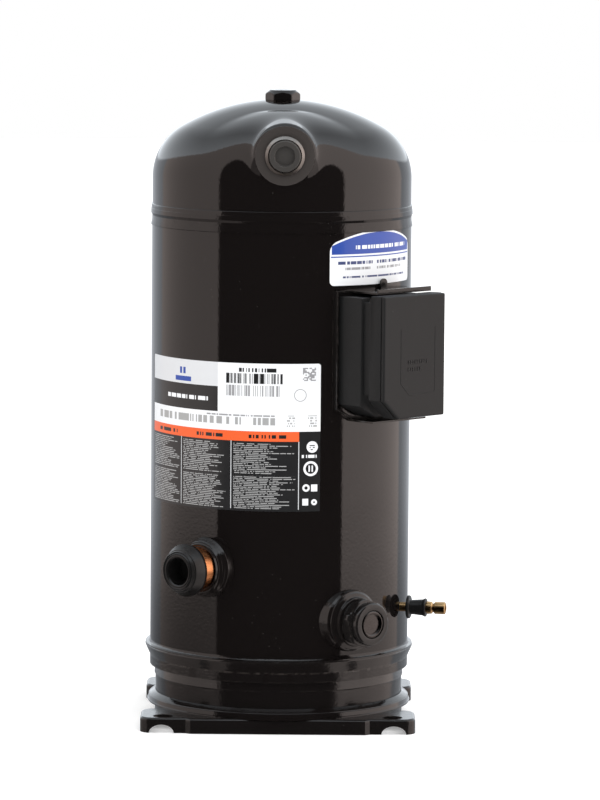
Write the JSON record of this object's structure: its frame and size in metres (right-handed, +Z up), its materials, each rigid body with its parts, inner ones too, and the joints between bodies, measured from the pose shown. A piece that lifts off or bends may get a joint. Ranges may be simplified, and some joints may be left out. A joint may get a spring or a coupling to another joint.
{
  "type": "scroll compressor",
  "caption": "Tall hermetic scroll compressor: black steel shell with domed top, footed base plate, terminal box and ports, with its scroll set, crankshaft and motor inside.",
  "frame": {"origin": "on the shell's axis at the level the base plate's flanges stand on", "axes": "+Z up along the shell's axis, -Y towards the discharge port, +X to the right of it"},
  "size_m": [0.2554, 0.2503, 0.5333],
  "materials": {
    "bearing_bronze": "sintered bronze",
    "black_plastic": "black moulded plastic",
    "black_rubber": "satin moulded black elastomer",
    "block_plastic": "brown moulded phenolic",
    "brass": "bare turned brass",
    "cast_aluminium": "cast aluminium",
    "cast_iron": "machined grey iron",
    "cast_steel": "sintered steel",
    "copper": "bare copper, slightly tarnished",
    "copper_winding": "varnished copper windings",
    "core_steel": "stacked steel laminations",
    "cover_plastic": "charcoal moulded plastic, fine texture",
    "dark_steel": "dark plated steel, satin",
    "gloss_black_steel": "gloss black baked enamel over steel",
    "green_zinc": "green passivated earth screw",
    "label_film": "printed polyester label, satin",
    "machined_steel": "ground steel",
    "magnet": "sintered ferrite",
    "zinc_steel": "zinc plated steel"
  },
  "bodies": {
    "shell": {"base_plate": "gloss_black_steel", "bottom_cap": "gloss_black_steel", "check_valve_guard": "machined_steel", "discharge_fitting": "dark_steel", "earth_screw": "green_zinc", "fixed_scroll": "cast_iron", "foot_weld_bead": "gloss_black_steel", "lower_bearing_bush": "bearing_bronze", "lower_bearing_housing": "cast_iron", "lower_weld_bead": "gloss_black_steel", "main_bearing_bush": "bearing_bronze", "main_bearing_housing": "cast_iron", "main_label": "label_film", "muffler_plate": "gloss_black_steel", "oil_port_spud": "gloss_black_steel", "oil_port_weld": "gloss_black_steel", "relief_valve": "brass", "scroll_bolts": "machined_steel", "shell_tube": "gloss_black_steel", "side_label": "label_film", "stator_core": "core_steel", "stator_windings": "copper_winding", "suction_baffle": "zinc_steel", "suction_collar": "gloss_black_steel", "suction_tube": "copper", "sump_magnet": "magnet", "terminal_block": "block_plastic", "terminal_body": "zinc_steel", "terminal_nuts": "brass", "terminal_pins": "copper", "terminal_tray": "gloss_black_steel", "top_cap": "gloss_black_steel", "top_plug": "dark_steel", "upper_weld_bead": "gloss_black_steel", "valve_body": "brass", "valve_core": "brass", "valve_sleeve": "black_plastic"},
    "crank": {"crankshaft": "machined_steel", "drive_bush": "machined_steel", "oil_pickup": "zinc_steel", "rotor_core": "core_steel", "rotor_cage": "cast_aluminium", "upper_counterweight": "cast_steel", "lower_counterweight": "cast_steel"},
    "orbiter": {"orbiting_scroll": "cast_iron", "orbit_bearing": "bearing_bronze"},
    "oldham": {"oldham_ring": "cast_aluminium"},
    "seal": {"floating_seal": "cast_steel"},
    "check_valve": {"check_disc": "machined_steel"},
    "suction_closure": {"suction_cap": "black_rubber"},
    "discharge_closure": {"discharge_plug": "black_rubber"},
    "oil_closure": {"oil_port_nut": "gloss_black_steel", "oil_port_disc": "dark_steel"},
    "valve_depressor": {"valve_pin": "brass"},
    "box_cover": {"terminal_cover": "cover_plastic"}
  },
  "joints": [
    {"name": "crank_spin", "type": "hinge", "parent": "shell", "child": "crank", "pos_m": [0, 0, 0.2], "axis": [0, 0, 1], "continuous": true},
    {"name": "orbit_turn", "type": "hinge", "parent": "crank", "child": "orbiter", "pos_m": [0, 0.0049, 0.35], "axis": [0, 0, 1], "continuous": true},
    {"name": "oldham_slide", "type": "slide", "parent": "shell", "child": "oldham", "axis": [1, 0, 0], "range_m": [-0.0049, 0.0049]},
    {"name": "seal_lift", "type": "slide", "parent": "shell", "child": "seal", "axis": [0, 0, 1], "range_m": [0, 0.0008]},
    {"name": "check_lift", "type": "slide", "parent": "shell", "child": "check_valve", "axis": [0, 0, 1], "range_m": [0, 0.003]},
    {"name": "suction_cap_pull", "type": "slide", "parent": "shell", "child": "suction_closure", "axis": [-0.6428, -0.766, 0], "range_m": [0, 0.04]},
    {"name": "discharge_plug_pull", "type": "slide", "parent": "shell", "child": "discharge_closure", "axis": [0.0227, -0.9997, 0], "range_m": [0, 0.03]},
    {"name": "oil_nut_turn", "type": "hinge", "parent": "shell", "child": "oil_closure", "pos_m": [0.05964, -0.09183, 0.0939], "axis": [0.6428, -0.766, 0], "continuous": true},
    {"name": "valve_pin_press", "type": "slide", "parent": "shell", "child": "valve_depressor", "axis": [-0.9781, 0.2079, 0], "range_m": [0, 0.0015], "stiffness_N_per_m": 600, "springref_m": -0.002},
    {"name": "cover_pull", "type": "slide", "parent": "shell", "child": "box_cover", "axis": [0.7071, -0.7071, 0], "range_m": [0, 0.06]}
  ],
  "couplings": [
    {"joint": "orbit_turn", "follows": "crank_spin", "ratio": -1}
  ]
}
